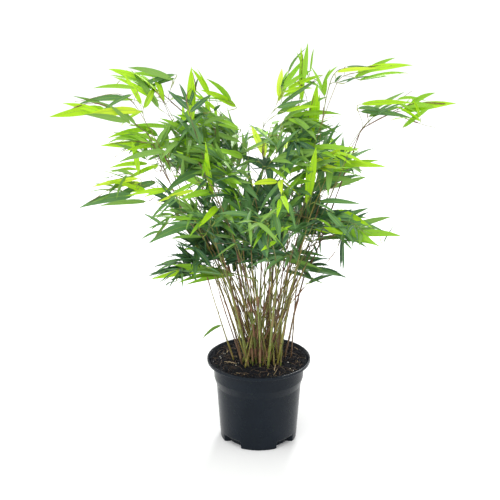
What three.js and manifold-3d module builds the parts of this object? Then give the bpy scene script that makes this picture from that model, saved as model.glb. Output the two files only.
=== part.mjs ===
// A clump-forming bamboo in a round plastic nursery pot.
// Millimetres, +Z up. The origin is on the pot's axis, on the flat underside that it stands on.
// The sides are named as seen from the front, which is -Y: +X is right and +Y is the back.
import * as THREE from "three";
import { mergeVertices } from "three/addons/utils/BufferGeometryUtils.js";
import Module from "manifold-3d";

// ---- Driving dimensions ----

// Clearance kept between solids that touch in the real plant.
const GAP = 0.3;

// Pot: a tapered cup with a flared lip, a collar under it and four dents round its foot.
const POT_HEIGHT = 157;
const LIP_RADIUS = 95;
const LIP_WIDTH = 6;
const LIP_DROP = 5;
const LIP_ROUNDING = 1.5;
const COLLAR_RADIUS = 82.5;
const COLLAR_BOTTOM = 122;
const SHOULDER_RADIUS = 78;
const SHOULDER_HEIGHT = 107;
const FOOT_RADIUS = 70.5;
const FOOT_ROUNDING = 2;
const WALL = 2;
const LIP_FOOT = POT_HEIGHT - LIP_DROP - WALL;
const POT_SEGMENTS = 32;
const DENT_COUNT = 4;
const DENT_WIDTH = 38;
const DENT_HEIGHT = 12;
const DENT_DEPTH = 11;
const DRAIN_COUNT = 8;
const DRAIN_RADIUS = 5;
const DRAIN_SIDES = 8;
const DRAIN_CIRCLE = 42;

// Soil: fills the pot to a little under the lip's top, slightly mounded round the clump.
const SOIL_EDGE_RADIUS = LIP_RADIUS - LIP_WIDTH;
const SOIL_EDGE_HEIGHT = 153;
const SOIL_MOUND = 3;

// Clump: the canes stand in a disc a little in front of the pot's axis and lean outwards like a
// vase. The crown's middle is further back, so the canes lean back by so much per millimetre too.
const CLUMP_X = 7;
const CLUMP_Y = 16;
const FOOT_Y = -6;
const BACK_LEAN = 0.06;
const CLUMP_RADIUS = 44;
const CANE_COUNT = 24;
const CANE_FOOT_RADIUS = 2.1;
const CANE_TIP_RADIUS = 1.2;
const CANE_HEIGHT = 560;
const CANE_SIDES = 5;
const CANE_STEPS = 7;
// Outward lean of a cane at the clump's edge: so much per millimetre of height, and its square.
const LEAN = 0.238;
const ARCH = 0.00038;
// How much the lean varies from cane to cane, and how far a cane strays sideways per millimetre.
const LEAN_SPREAD = 0.16;
const STRAY = 0.02;
// Canes on the right stand straighter than the rest, and canes on the left lean further out.
const RIGHT_SIDE_LEAN = 0.75;
const LEFT_SIDE_LEAN = 1.15;

// Foliage: each mass runs along an arching spine from its root to its tip.
const MASS_DETAIL = 2;
const TIP_TAPER = 0.3;
const BULGE = 0.13;
// The waves that make a mass uneven, as radians along, across and over a ball of radius 1.
const BULGE_WAVES = [
  [4, 3, 0],
  [0, 4, -3],
  [2, 0, 5],
];

// Each row is one mass: its bearing round the clump in degrees anticlockwise from the right,
// the reach and height of its root and of its tip, the rise of its spine's middle over the
// straight line, and half its width and half its thickness. The hearts come first: what grows
// out of them starts at their surface.
const MASSES = [
  { name: "foliage_centre_low", bearing: 90, root: [0, 325], tip: [14, 472], rise: 0, half: [78, 60] },
  { name: "foliage_left_heart", bearing: 184, root: [96, 322], tip: [140, 500], rise: 0, half: [72, 50] },
  { name: "foliage_right_heart", bearing: 2, root: [84, 325], tip: [94, 505], rise: 0, half: [68, 38] },
  { name: "foliage_front_heart", bearing: 268, root: [92, 356], tip: [146, 500], rise: 0, half: [78, 38] },
  { name: "foliage_back_heart", bearing: 92, root: [98, 305], tip: [156, 492], rise: 0, half: [82, 38] },
  { name: "foliage_centre_top", bearing: 90, root: [0, 482], tip: [6, 616], rise: 0, half: [64, 54] },
  { name: "foliage_left_upper", bearing: 178, root: [114, 502], tip: [142, 640], rise: 0, half: [60, 62] },
  { name: "foliage_right_upper", bearing: 4, root: [84, 514], tip: [98, 672], rise: 0, half: [60, 56] },
  { name: "foliage_front_left_upper", bearing: 228, root: [110, 488], tip: [152, 596], rise: 0, half: [58, 34] },
  { name: "foliage_front_right_upper", bearing: 312, root: [106, 480], tip: [146, 586], rise: 0, half: [58, 34] },
  { name: "foliage_back_left_upper", bearing: 132, root: [110, 492], tip: [164, 618], rise: 0, half: [60, 36] },
  { name: "foliage_back_right_upper", bearing: 48, root: [106, 488], tip: [156, 622], rise: 0, half: [58, 36] },
  { name: "foliage_left_skirt", bearing: 186, root: [96, 334], tip: [208, 306], rise: 18, half: [54, 34] },
  { name: "foliage_right_skirt", bearing: 352, root: [82, 326], tip: [156, 314], rise: 6, half: [48, 20] },
  { name: "foliage_left_reach", bearing: 190, root: [170, 480], tip: [330, 455], rise: 30, half: [46, 30] },
  { name: "foliage_left_shoulder", bearing: 170, root: [190, 550], tip: [300, 540], rise: 8, half: [44, 26] },
  { name: "foliage_left_tip", bearing: 185, root: [210, 635], tip: [375, 615], rise: 16, half: [38, 22] },
  { name: "foliage_left_arch", bearing: 160, root: [185, 630], tip: [300, 670], rise: 6, half: [34, 18] },
  { name: "foliage_left_crest", bearing: 200, root: [120, 620], tip: [130, 710], rise: 0, half: [34, 40] },
  { name: "foliage_right_low_reach", bearing: 0, root: [125, 390], tip: [255, 385], rise: 12, half: [42, 36] },
  { name: "foliage_right_shoulder", bearing: 345, root: [130, 525], tip: [225, 535], rise: 4, half: [40, 28] },
  { name: "foliage_right_tip", bearing: 5, root: [175, 600], tip: [345, 625], rise: 14, half: [36, 24] },
  { name: "foliage_right_arch", bearing: 350, root: [110, 680], tip: [260, 710], rise: 10, half: [30, 18] },
  { name: "foliage_right_crest", bearing: 35, root: [80, 640], tip: [80, 725], rise: 0, half: [38, 46] },
  { name: "foliage_front_left_reach", bearing: 226, root: [138, 456], tip: [280, 440], rise: 30, half: [50, 28] },
  { name: "foliage_front_reach", bearing: 272, root: [160, 470], tip: [268, 440], rise: 24, half: [50, 24] },
  { name: "foliage_front_right_reach", bearing: 316, root: [138, 442], tip: [266, 430], rise: 26, half: [48, 28] },
  { name: "foliage_back_left_reach", bearing: 134, root: [138, 454], tip: [288, 466], rise: 26, half: [52, 30] },
  { name: "foliage_back_reach", bearing: 88, root: [168, 484], tip: [284, 490], rise: 24, half: [54, 26] },
  { name: "foliage_back_right_reach", bearing: 42, root: [138, 454], tip: [278, 470], rise: 24, half: [50, 30] },
];

// Each row is one limb that runs bare between masses: its foot and its head, each as bearing,
// reach and height, and how far its middle bows outwards.
const BOUGHS = [
  { name: "bough_right_lower", foot: [2, 120, 425], head: [4, 150, 515], bow: -2 },
  { name: "bough_right_upper", foot: [4, 155, 525], head: [5, 195, 625], bow: -4 },
  { name: "bough_left_long", foot: [183, 175, 560], head: [185, 260, 640], bow: 6 },
];
const BOUGH_FOOT_RADIUS = 1.4;
const BOUGH_HEAD_RADIUS = 0.9;

// ---- Materials ----

const POT_FINISH = { color: 0x2c3239, roughness: 0.42, metalness: 0 };
const SOIL_FINISH = { color: 0x241c16, roughness: 0.95, metalness: 0 };
const CANE_FINISH = { color: 0x8a8a3c, roughness: 0.5, metalness: 0 };
const FOLIAGE_FINISH = { color: 0x4f9a2c, roughness: 0.55, metalness: 0 };

// ---- Solids ----

const wasm = await Module();
wasm.setup();

/** Turns a closed geometry into a solid that can be joined and cut. */
function solidOf(geometry) {
  const bare = geometry.clone();
  bare.deleteAttribute("normal");
  bare.deleteAttribute("uv");
  const merged = mergeVertices(bare, 1e-3);
  return new wasm.Manifold(
    new wasm.Mesh({
      numProp: 3,
      vertProperties: new Float32Array(merged.attributes.position.array),
      triVerts: new Uint32Array(merged.index.array),
    }),
  );
}

/** Turns a solid back into a geometry with flat-shaded normals. */
function geometryOf(solid) {
  const mesh = solid.getMesh();
  const geometry = new THREE.BufferGeometry();
  const position = new THREE.BufferAttribute(new Float32Array(mesh.vertProperties), 3);
  geometry.setAttribute("position", position);
  geometry.setIndex(new THREE.BufferAttribute(new Uint32Array(mesh.triVerts), 1));
  geometry.computeVertexNormals();
  return geometry;
}

/** A repeatable stream of numbers from 0 to 1. */
function randomSource(seed) {
  let state = seed * 7919 + 17;
  return () => {
    state = (state * 1664525 + 1013904223) % 4294967296;
    return state / 4294967296;
  };
}

/** The point at a bearing, reach and height round the clump's centre. */
function aroundClump(bearing, reach, height) {
  const angle = THREE.MathUtils.degToRad(bearing);
  return new THREE.Vector3(
    CLUMP_X + reach * Math.cos(angle),
    CLUMP_Y + reach * Math.sin(angle),
    height,
  );
}

/** Turns a profile of [radius, height] pairs round the Z axis. */
function turned(profile) {
  const points = profile.map(([radius, height]) => new THREE.Vector2(radius, height));
  return new THREE.LatheGeometry(points, POT_SEGMENTS).rotateX(Math.PI / 2);
}

/** The radius of the pot's outside at a height under the shoulder. */
function wallRadius(height) {
  return THREE.MathUtils.mapLinear(height, 0, SHOULDER_HEIGHT, FOOT_RADIUS, SHOULDER_RADIUS);
}

/** The body that dents the foot of the pot at one bearing, swollen by grow on every side. */
function footDent(bearing, grow) {
  const inner = FOOT_RADIUS - DENT_DEPTH - grow;
  const outer = FOOT_RADIUS + DENT_DEPTH;
  const top = DENT_HEIGHT + grow;
  const outline = new THREE.Shape([
    new THREE.Vector2(inner, -DENT_HEIGHT),
    new THREE.Vector2(outer, -DENT_HEIGHT),
    new THREE.Vector2(outer, top + GAP),
    new THREE.Vector2(inner + DENT_DEPTH / 2, top),
    new THREE.Vector2(inner, top - DENT_HEIGHT / 2),
  ]);
  const width = DENT_WIDTH + 2 * grow;
  const body = new THREE.ExtrudeGeometry(outline, { depth: width, bevelEnabled: false });
  body.translate(0, 0, -width / 2);
  body.rotateX(Math.PI / 2);
  body.rotateZ(bearing);
  return solidOf(body);
}

/** Cuts all the dents of the foot, swollen by grow, out of a solid. */
function dented(solid, grow) {
  let result = solid;
  for (let i = 0; i < DENT_COUNT; i += 1) {
    result = result.subtract(footDent(((i + 0.5) * 2 * Math.PI) / DENT_COUNT, grow));
  }
  return result;
}

/** The space inside the pot's wall, shrunk by clearance and filled up to the given profile top. */
function potInside(clearance, top) {
  const inset = WALL + clearance;
  return turned([
    [0, WALL + clearance],
    [wallRadius(WALL) - inset, WALL + clearance],
    [SHOULDER_RADIUS - inset, SHOULDER_HEIGHT],
    [COLLAR_RADIUS - inset, COLLAR_BOTTOM],
    ...top,
  ]);
}

function potSolid() {
  const outside = turned([
    [0, 0],
    [FOOT_RADIUS - FOOT_ROUNDING, 0],
    [wallRadius(FOOT_ROUNDING), FOOT_ROUNDING],
    [SHOULDER_RADIUS, SHOULDER_HEIGHT],
    [COLLAR_RADIUS, COLLAR_BOTTOM],
    [COLLAR_RADIUS + 1, POT_HEIGHT - 2 * LIP_DROP],
    [LIP_RADIUS - LIP_ROUNDING, POT_HEIGHT - LIP_DROP - LIP_ROUNDING],
    [LIP_RADIUS, POT_HEIGHT - LIP_DROP / 2],
    [LIP_RADIUS - LIP_ROUNDING / 2, POT_HEIGHT - LIP_ROUNDING / 2],
    [LIP_RADIUS - 2 * LIP_ROUNDING, POT_HEIGHT],
    [0, POT_HEIGHT],
  ]);
  const inside = potInside(0, [
    [COLLAR_RADIUS - WALL + 1, LIP_FOOT],
    [LIP_RADIUS - LIP_WIDTH, LIP_FOOT + WALL],
    [LIP_RADIUS - LIP_WIDTH / 2, POT_HEIGHT + 1],
    [0, POT_HEIGHT + 1],
  ]);
  let pot = dented(solidOf(outside), 0).subtract(dented(solidOf(inside), WALL));
  for (let i = 0; i < DRAIN_COUNT; i += 1) {
    const hole = new THREE.CylinderGeometry(DRAIN_RADIUS, DRAIN_RADIUS, 6 * WALL, DRAIN_SIDES);
    hole.rotateX(Math.PI / 2);
    hole.translate(DRAIN_CIRCLE, 0, 0);
    hole.rotateZ((i * 2 * Math.PI) / DRAIN_COUNT);
    pot = pot.subtract(solidOf(hole));
  }
  return pot;
}

/** The height of the soil's surface at a distance from the pot's axis. */
function soilHeight(distance) {
  const share = Math.min(distance / SOIL_EDGE_RADIUS, 1);
  return SOIL_EDGE_HEIGHT + SOIL_MOUND * (1 - share * share);
}

function soilSolid() {
  const underLip = [
    [COLLAR_RADIUS - WALL + 1 - GAP, LIP_FOOT + GAP],
    [LIP_RADIUS - LIP_WIDTH - GAP, LIP_FOOT + WALL + 1.5 * GAP],
  ];
  const rings = [1, 0.5, 0];
  const surface = rings.map((share) => {
    const radius = SOIL_EDGE_RADIUS * share;
    return [radius, soilHeight(radius)];
  });
  return dented(solidOf(potInside(GAP, [...underLip, ...surface])), WALL + GAP);
}

/** A round limb along a curve, with a straight taper and flat ends. */
function limb(curve, footRadius, headRadius, steps) {
  const body = new THREE.CylinderGeometry(headRadius, footRadius, 1, CANE_SIDES, steps);
  const position = body.attributes.position;
  const vertex = new THREE.Vector3();
  for (let i = 0; i < position.count; i += 1) {
    vertex.fromBufferAttribute(position, i);
    const share = THREE.MathUtils.clamp(vertex.y + 0.5, 0, 1);
    const along = curve.getTangent(share);
    const across = new THREE.Vector3(1, 0, 0).addScaledVector(along, -along.x).normalize();
    const behind = new THREE.Vector3().crossVectors(along, across);
    const centre = curve.getPoint(share);
    centre.addScaledVector(across, vertex.x).addScaledVector(behind, -vertex.z);
    position.setXYZ(i, centre.x, centre.y, centre.z);
  }
  return solidOf(body);
}

/** The curve of one cane, from just above the soil to the height it would reach in the open. */
function caneCurve(index) {
  const random = randomSource(index + 1);
  const goldenAngle = Math.PI * (3 - Math.sqrt(5));
  const bearing = index * goldenAngle;
  const share = Math.sqrt((index + 0.6) / CANE_COUNT);
  const sideways = new THREE.Vector2(Math.cos(bearing), Math.sin(bearing));
  const sideLean = sideways.x > 0 ? RIGHT_SIDE_LEAN : LEFT_SIDE_LEAN;
  const sidedness = THREE.MathUtils.lerp(1, sideLean, Math.abs(sideways.x));
  const lean = share * sidedness * (1 + LEAN_SPREAD * (random() - 0.5));
  const stray = STRAY * (random() - 0.5);
  const foot = new THREE.Vector3(
    CLUMP_X + CLUMP_RADIUS * share * sideways.x,
    FOOT_Y + CLUMP_RADIUS * share * sideways.y,
    0,
  );
  foot.z = soilHeight(Math.hypot(foot.x, foot.y)) + 2 * GAP;
  const points = [];
  for (let i = 0; i <= CANE_STEPS; i += 1) {
    const height = ((CANE_HEIGHT - foot.z) * i) / CANE_STEPS;
    const outwards = lean * (LEAN * height + ARCH * height * height);
    const aside = stray * height;
    points.push(
      new THREE.Vector3(
        foot.x + outwards * sideways.x - aside * sideways.y,
        foot.y + outwards * sideways.y + aside * sideways.x + BACK_LEAN * height,
        foot.z + height,
      ),
    );
  }
  return new THREE.CatmullRomCurve3(points);
}

/** A ball drawn out along an arching spine, narrower at its tip, with bulges of its own. */
function massSolid(form, seed, grow) {
  const random = randomSource(seed);
  const waves = BULGE_WAVES.map((wave) => ({
    direction: new THREE.Vector3(...wave),
    phase: 2 * Math.PI * random(),
  }));
  const root = aroundClump(form.bearing, ...form.root);
  const tip = aroundClump(form.bearing, ...form.tip);
  const along = new THREE.Vector3().subVectors(tip, root).normalize();
  const across = new THREE.Vector3(
    -Math.sin(THREE.MathUtils.degToRad(form.bearing)),
    Math.cos(THREE.MathUtils.degToRad(form.bearing)),
    0,
  );
  const over = new THREE.Vector3().crossVectors(along, across).normalize();
  root.addScaledVector(along, -grow);
  tip.addScaledVector(along, grow);
  const ball = new THREE.IcosahedronGeometry(1, MASS_DETAIL);
  const position = ball.attributes.position;
  const unit = new THREE.Vector3();
  for (let i = 0; i < position.count; i += 1) {
    unit.fromBufferAttribute(position, i).normalize();
    const share = (unit.x + 1) / 2;
    const swell = waves.reduce(
      (sum, wave) => sum + BULGE * Math.sin(wave.direction.dot(unit) + wave.phase),
      1,
    );
    const narrowing = 1 - TIP_TAPER * unit.x;
    const place = new THREE.Vector3().lerpVectors(root, tip, share);
    place.z += form.rise * 4 * share * (1 - share);
    place.addScaledVector(across, unit.y * (form.half[0] * narrowing * swell + grow));
    place.addScaledVector(over, unit.z * (form.half[1] * narrowing * swell + grow));
    position.setXYZ(i, place.x, place.y, place.z);
  }
  return solidOf(ball);
}

/** The piece of a solid that a test finds best, where cutting has left several. */
function bestPiece(solid, score) {
  const pieces = solid.decompose();
  return pieces.reduce((best, piece) => (score(piece) > score(best) ? piece : best));
}

const lowest = (piece) => -piece.boundingBox().min[2];
const largest = (piece) => piece.volume();

// ---- The plant ----

const plant = new THREE.Group();

function add(name, solid, finish) {
  const mesh = new THREE.Mesh(geometryOf(solid), new THREE.MeshStandardMaterial(finish));
  mesh.name = name;
  plant.add(mesh);
}

/** Every foliage mass, cut back where it meets a mass earlier in the list. */
function foliage() {
  const swollen = MASSES.map((form, i) => massSolid(form, i + 1, GAP));
  return MASSES.map((form, i) => {
    let mass = massSolid(form, i + 1, 0);
    for (const earlier of swollen.slice(0, i)) {
      mass = mass.subtract(earlier);
    }
    return { name: form.name, solid: bestPiece(mass, largest), swollen: swollen[i] };
  });
}

const masses = foliage();

/** The part of a limb that stands clear of all foliage. */
function clearOfFoliage(solid, score) {
  let rest = solid;
  for (const mass of masses) {
    rest = rest.subtract(mass.swollen);
  }
  return bestPiece(rest, score);
}

add("pot", potSolid(), POT_FINISH);
add("soil", soilSolid(), SOIL_FINISH);

for (let i = 0; i < CANE_COUNT; i += 1) {
  const cane = limb(caneCurve(i), CANE_FOOT_RADIUS, CANE_TIP_RADIUS, CANE_STEPS);
  const name = "cane_" + String(i + 1).padStart(2, "0");
  add(name, clearOfFoliage(cane, lowest), CANE_FINISH);
}

for (const form of BOUGHS) {
  const foot = aroundClump(...form.foot);
  const head = aroundClump(...form.head);
  const middle = new THREE.Vector3().lerpVectors(foot, head, 0.5);
  middle.x += form.bow * Math.sign(middle.x);
  const curve = new THREE.CatmullRomCurve3([foot, middle, head]);
  const bough = limb(curve, BOUGH_FOOT_RADIUS, BOUGH_HEAD_RADIUS, CANE_STEPS / 2);
  add(form.name, clearOfFoliage(bough, largest), CANE_FINISH);
}

for (const mass of masses) {
  add(mass.name, mass.solid, FOLIAGE_FINISH);
}

export default plant;
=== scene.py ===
import math
import random

import bpy
import numpy as np
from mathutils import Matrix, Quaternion, Vector, noise
from mathutils.bvhtree import BVHTree


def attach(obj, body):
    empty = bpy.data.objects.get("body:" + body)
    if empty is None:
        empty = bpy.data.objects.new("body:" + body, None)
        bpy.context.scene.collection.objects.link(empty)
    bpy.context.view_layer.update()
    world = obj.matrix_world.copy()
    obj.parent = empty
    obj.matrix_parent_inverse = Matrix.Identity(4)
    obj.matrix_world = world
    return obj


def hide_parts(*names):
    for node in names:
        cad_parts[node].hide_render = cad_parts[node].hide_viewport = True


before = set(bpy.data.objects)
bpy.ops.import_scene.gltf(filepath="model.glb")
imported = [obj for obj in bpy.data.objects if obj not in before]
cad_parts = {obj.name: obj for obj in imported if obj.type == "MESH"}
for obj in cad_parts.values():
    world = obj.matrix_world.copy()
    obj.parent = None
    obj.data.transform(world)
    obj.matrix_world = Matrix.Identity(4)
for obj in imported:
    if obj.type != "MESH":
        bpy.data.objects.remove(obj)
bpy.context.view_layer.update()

MM = 0.001
UP = Vector((0, 0, 1))
SEED = 7
CAMERA_PLACE = (-0.016, -2.4, 1.238)
CAMERA_TILT = math.radians(70.04)
CAMERA_LENS = 102.5
FLOOR_HALF = 30.0

# ---- Sizes, in millimetres unless a name says otherwise ----

CLUMP = Vector((7, 16, 0)) * MM

# Pot: corners of the turned profile as radius, height and rounding, from the middle of the
# underside up the outside, over the lip and down the inside.
POT_PROFILE = [
    (0, 0, 0), (70.5, 0, 2), (78, 107, 3), (82.5, 122, 3), (83.5, 147, 4), (95, 151.5, 1.6),
    (95, 157, 1.6), (92.4, 157, 1), (89.3, 152.4, 2), (81.5, 149.5, 3), (80.5, 122, 3),
    (76, 107, 3), (68.6, 2, 3), (0, 2, 0),
]
POT_TURNS = 288
FOOT_RADIUS = 70.5
DENTS = 4
DENT_HALF_WIDTH = 19
DENT_HEIGHT = 12
DENT_DEPTH = 11
DENT_SOFTNESS = 6
DENT_FREE_RADIUS = 50
DRAINS = 8
DRAIN_RADIUS = 5
DRAIN_CIRCLE = 42

SOIL_EDGE_RADIUS = 88.8
SOIL_EDGE_HEIGHT = 153
SOIL_MOUND = 3
SOIL_RELIEF = 1.6
CRUMBS = 2100
BARK_BITS = 300
PALE_GRAINS = 34
LARGE_GRAINS = 9
FIBRES = 150
SHORT_STRAWS = 20
LONG_STRAWS = 8

# ---- Colours, as they look in even light, 0 to 255 ----

# The leaves get these tones by their place in the crown. The darker tones are painted shade deep
# inside and low down, and the brighter tones are painted light outside and on top, over a random
# spread.
LEAF_TONES = {
    "shade": (74, 114, 76),
    "deep": (98, 142, 82),
    "mid": (126, 170, 76),
    "fresh": (146, 200, 50),
    "bright": (174, 224, 34),
    "lime": (204, 234, 56),
}


def linear(colour):
    """An even-light colour as the shader wants it."""
    return tuple(
        (c / 255 / 12.92) if c / 255 <= 0.04045 else ((c / 255 + 0.055) / 1.055) ** 2.4
        for c in colour
    ) + (1.0,)


# ---- Meshes ----


class Heap:
    """Vertices and faces gathered for one joined piece."""

    def __init__(self):
        self.points = []
        self.faces = []

    def add(self, points, faces):
        start = len(self.points)
        self.points.extend(points)
        self.faces.extend(tuple(i + start for i in face) for face in faces)


def piece(name, heap, material, replaced=(), sharp=None):
    """Turns a heap into one object that rides on the plant's body."""
    mesh = bpy.data.meshes.new(name)
    mesh.from_pydata([tuple(p) for p in heap.points], [], heap.faces)
    mesh.validate()
    mesh.polygons.foreach_set("use_smooth", [True] * len(mesh.polygons))
    if sharp is not None:
        mesh.set_sharp_from_angle(angle=math.radians(sharp))
    mesh.materials.append(material)
    obj = bpy.data.objects.new(name, mesh)
    bpy.context.scene.collection.objects.link(obj)
    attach(obj, "root")
    if replaced:
        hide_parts(*replaced)
    return obj


def across_of(tangent, hint):
    """A direction square to a tangent, as near to the hint as it can be."""
    side = hint - tangent * hint.dot(tangent)
    if side.length < 1e-4:
        side = tangent.orthogonal()
    return side.normalized()


def tangents(points):
    last = len(points) - 1
    return [
        (points[min(i + 1, last)] - points[max(i - 1, 0)]).normalized() for i in range(last + 1)
    ]


def tube(heap, points, radii, sides, squash=1.0):
    """A closed round tube along points, or a flat one where squash is small."""
    ring_points = []
    side = across_of(tangents(points)[0], Vector((1, 0.3, 0.1)))
    for point, tangent, radius in zip(points, tangents(points), radii):
        side = across_of(tangent, side)
        other = tangent.cross(side)
        for k in range(sides):
            angle = 2 * math.pi * k / sides
            ring_points.append(
                point + side * (radius * math.cos(angle)) + other * (radius * squash * math.sin(angle))
            )
    faces = []
    rings = len(points)
    for i in range(rings - 1):
        for k in range(sides):
            a, b = i * sides + k, i * sides + (k + 1) % sides
            faces.append((a, b, b + sides, a + sides))
    faces.append(tuple(reversed(range(sides))))
    faces.append(tuple(range((rings - 1) * sides, rings * sides)))
    heap.add(ring_points, faces)


def hermite(start, start_pull, end, end_pull, count):
    """Points on a curve that leaves start along one pull and reaches end along the other."""
    points = []
    for i in range(count + 1):
        t = i / count
        t2, t3 = t * t, t * t * t
        points.append(
            start * (2 * t3 - 3 * t2 + 1)
            + start_pull * (t3 - 2 * t2 + t)
            + end * (3 * t2 - 2 * t3)
            + end_pull * (t3 - t2)
        )
    return points


def through(knots, step):
    """A smooth curve through all the knots, in steps of about the given length."""
    pulls = []
    for i in range(len(knots)):
        before, after = knots[max(i - 1, 0)], knots[min(i + 1, len(knots) - 1)]
        pulls.append((after - before) * (0.5 if 0 < i < len(knots) - 1 else 1.0))
    curve = [knots[0]]
    for i in range(len(knots) - 1):
        span = (knots[i + 1] - knots[i]).length
        if span < 1e-6:
            continue
        scale_a = min(1.0, span / max(pulls[i].length, 1e-6))
        scale_b = min(1.0, span / max(pulls[i + 1].length, 1e-6))
        count = max(2, round(span / step))
        curve += hermite(
            knots[i], pulls[i] * scale_a, knots[i + 1], pulls[i + 1] * scale_b, count
        )[1:]
    return curve


def lengths(points):
    """The distance along the points at each of them."""
    total = [0.0]
    for a, b in zip(points, points[1:]):
        total.append(total[-1] + (b - a).length)
    return total


def at_length(points, run, s):
    """The point and direction at a distance along the points."""
    i = min(max(int(np.searchsorted(run, s)) - 1, 0), len(points) - 2)
    span = max(run[i + 1] - run[i], 1e-9)
    share = min(max((s - run[i]) / span, 0), 1)
    return points[i].lerp(points[i + 1], share), (points[i + 1] - points[i]).normalized()


# ---- Materials ----


def new_material(name, roughness, colour=(128, 128, 128), specular=0.5):
    material = bpy.data.materials.new(name)
    material.use_nodes = True
    shader = material.node_tree.nodes["Principled BSDF"]
    shader.inputs["Base Color"].default_value = linear(colour)
    shader.inputs["Roughness"].default_value = roughness
    shader.inputs["Specular IOR Level"].default_value = specular
    return material, material.node_tree, shader


def noise_node(tree, scale, detail=4.0, roughness=0.6, stretch=None):
    """A noise field on object coordinates, drawn out along Z where stretch says."""
    place = tree.nodes.new("ShaderNodeTexCoord")
    field = tree.nodes.new("ShaderNodeTexNoise")
    field.inputs["Scale"].default_value = scale
    field.inputs["Detail"].default_value = detail
    field.inputs["Roughness"].default_value = roughness
    if stretch is None:
        tree.links.new(place.outputs["Object"], field.inputs["Vector"])
    else:
        mapping = tree.nodes.new("ShaderNodeMapping")
        mapping.inputs["Scale"].default_value = stretch
        tree.links.new(place.outputs["Object"], mapping.inputs["Vector"])
        tree.links.new(mapping.outputs["Vector"], field.inputs["Vector"])
    return field.outputs["Fac"]


def ramp(tree, value, stops):
    """Colours or greys at stops from 0 to 1 along a value."""
    node = tree.nodes.new("ShaderNodeValToRGB")
    elements = node.color_ramp.elements
    while len(elements) < len(stops):
        elements.new(0.5)
    for element, (place, colour) in zip(elements, stops):
        element.position = place
        element.color = linear(colour) if isinstance(colour, tuple) else (colour,) * 3 + (1.0,)
    tree.links.new(value, node.inputs["Fac"])
    return node.outputs["Color"]


def mixed(tree, share, first, second):
    """One colour over another by a share."""
    node = tree.nodes.new("ShaderNodeMix")
    node.data_type = "RGBA"
    tree.links.new(share, node.inputs["Factor"])
    tree.links.new(first, node.inputs["A"])
    tree.links.new(second, node.inputs["B"])
    return node.outputs["Result"]


def bump(tree, shader, height, strength, distance):
    node = tree.nodes.new("ShaderNodeBump")
    node.inputs["Strength"].default_value = strength
    node.inputs["Distance"].default_value = distance
    tree.links.new(height, node.inputs["Height"])
    tree.links.new(node.outputs["Normal"], shader.inputs["Normal"])


def leaf_material(name, colour):
    return new_material(name, 0.5, colour, 0.22)[0]


def streaked_material(name, stops, roughness, scale=60.0):
    """Stem colours in streaks along the stem, with a finer grain over them."""
    material, tree, shader = new_material(name, roughness)
    streaks = noise_node(tree, scale, 5.0, 0.65, (1.0, 1.0, 0.22))
    tree.links.new(ramp(tree, streaks, stops), shader.inputs["Base Color"])
    bump(tree, shader, noise_node(tree, 900.0, 3.0, 0.6, (1.0, 1.0, 0.1)), 0.35, 0.0004)
    return material


def pot_material():
    material, tree, shader = new_material("pot_plastic", 0.4, specular=0.14)
    cloud = noise_node(tree, 14.0, 5.0, 0.6)
    body = ramp(tree, cloud, [(0.3, (16, 23, 31)), (0.7, (22, 30, 39))])
    dusty = ramp(tree, noise_node(tree, 9.0, 2.0, 0.5), [(0.0, (52, 58, 62)), (1.0, (70, 76, 78))])
    scratches = noise_node(tree, 120.0, 8.0, 0.75, (1.0, 1.0, 2.4))
    scuffs = ramp(tree, scratches, [(0.63, 0.0), (0.74, 0.34)])
    tree.links.new(mixed(tree, scuffs, body, dusty), shader.inputs["Base Color"])
    wear = ramp(tree, noise_node(tree, 40.0, 6.0, 0.7), [(0.3, 0.2), (0.7, 0.32)])
    tree.links.new(wear, shader.inputs["Roughness"])
    bump(tree, shader, noise_node(tree, 1400.0, 2.0, 0.5), 0.12, 0.0002)
    return material


def soil_material(name, stops):
    material, tree, shader = new_material(name, 0.93, specular=0.2)
    grain = noise_node(tree, 420.0, 8.0, 0.75)
    tree.links.new(ramp(tree, grain, stops), shader.inputs["Base Color"])
    bump(tree, shader, noise_node(tree, 1500.0, 6.0, 0.7), 0.8, 0.0008)
    return material


# ---- Pot ----


def rounded(profile, step):
    """The profile's corners rounded off, with points at most a step apart on its straights."""
    corners = [Vector((r, z)) for r, z, _ in profile]
    line = [corners[0]]
    for i in range(1, len(profile) - 1):
        here, radius = corners[i], profile[i][2]
        back = (corners[i - 1] - here).normalized()
        on = (corners[i + 1] - here).normalized()
        half = math.acos(max(-1, min(1, back.dot(on)))) / 2
        cut = min(
            radius / math.tan(half),
            (corners[i - 1] - here).length * 0.45,
            (corners[i + 1] - here).length * 0.45,
        )
        start, end = here + back * cut, here + on * cut
        for k in range(7):
            t = k / 6
            line.append(start * (1 - t) ** 2 + here * (2 * t * (1 - t)) + end * t * t)
    line.append(corners[-1])
    fine = [line[0]]
    for point in line[1:]:
        gap = (point - fine[-1]).length
        if gap < 1e-4:
            continue
        low = min(point.y, fine[-1].y) < DENT_HEIGHT * 2
        count = max(1, math.ceil(gap / (step if low else step * 4)))
        start = fine[-1]
        fine += [start.lerp(point, (k + 1) / count) for k in range(count)]
    return fine


def smooth_share(value):
    value = max(0.0, min(1.0, value))
    return value * value * (3 - 2 * value)


def dented_radius(radius, angle, height, grow):
    """The radius left at the foot where the dents press it in, swollen by grow."""
    turn = 2 * math.pi / DENTS
    aside = abs(angle % turn - turn / 2) * FOOT_RADIUS
    across = smooth_share((DENT_HALF_WIDTH + grow - aside) / DENT_SOFTNESS + 0.5)
    up = smooth_share((DENT_HEIGHT + grow - height) / DENT_SOFTNESS + 0.5)
    if radius <= DENT_FREE_RADIUS:
        return radius
    squeeze = DENT_DEPTH * across * up / (FOOT_RADIUS - DENT_FREE_RADIUS)
    return DENT_FREE_RADIUS + (radius - DENT_FREE_RADIUS) * (1 - squeeze)


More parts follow.
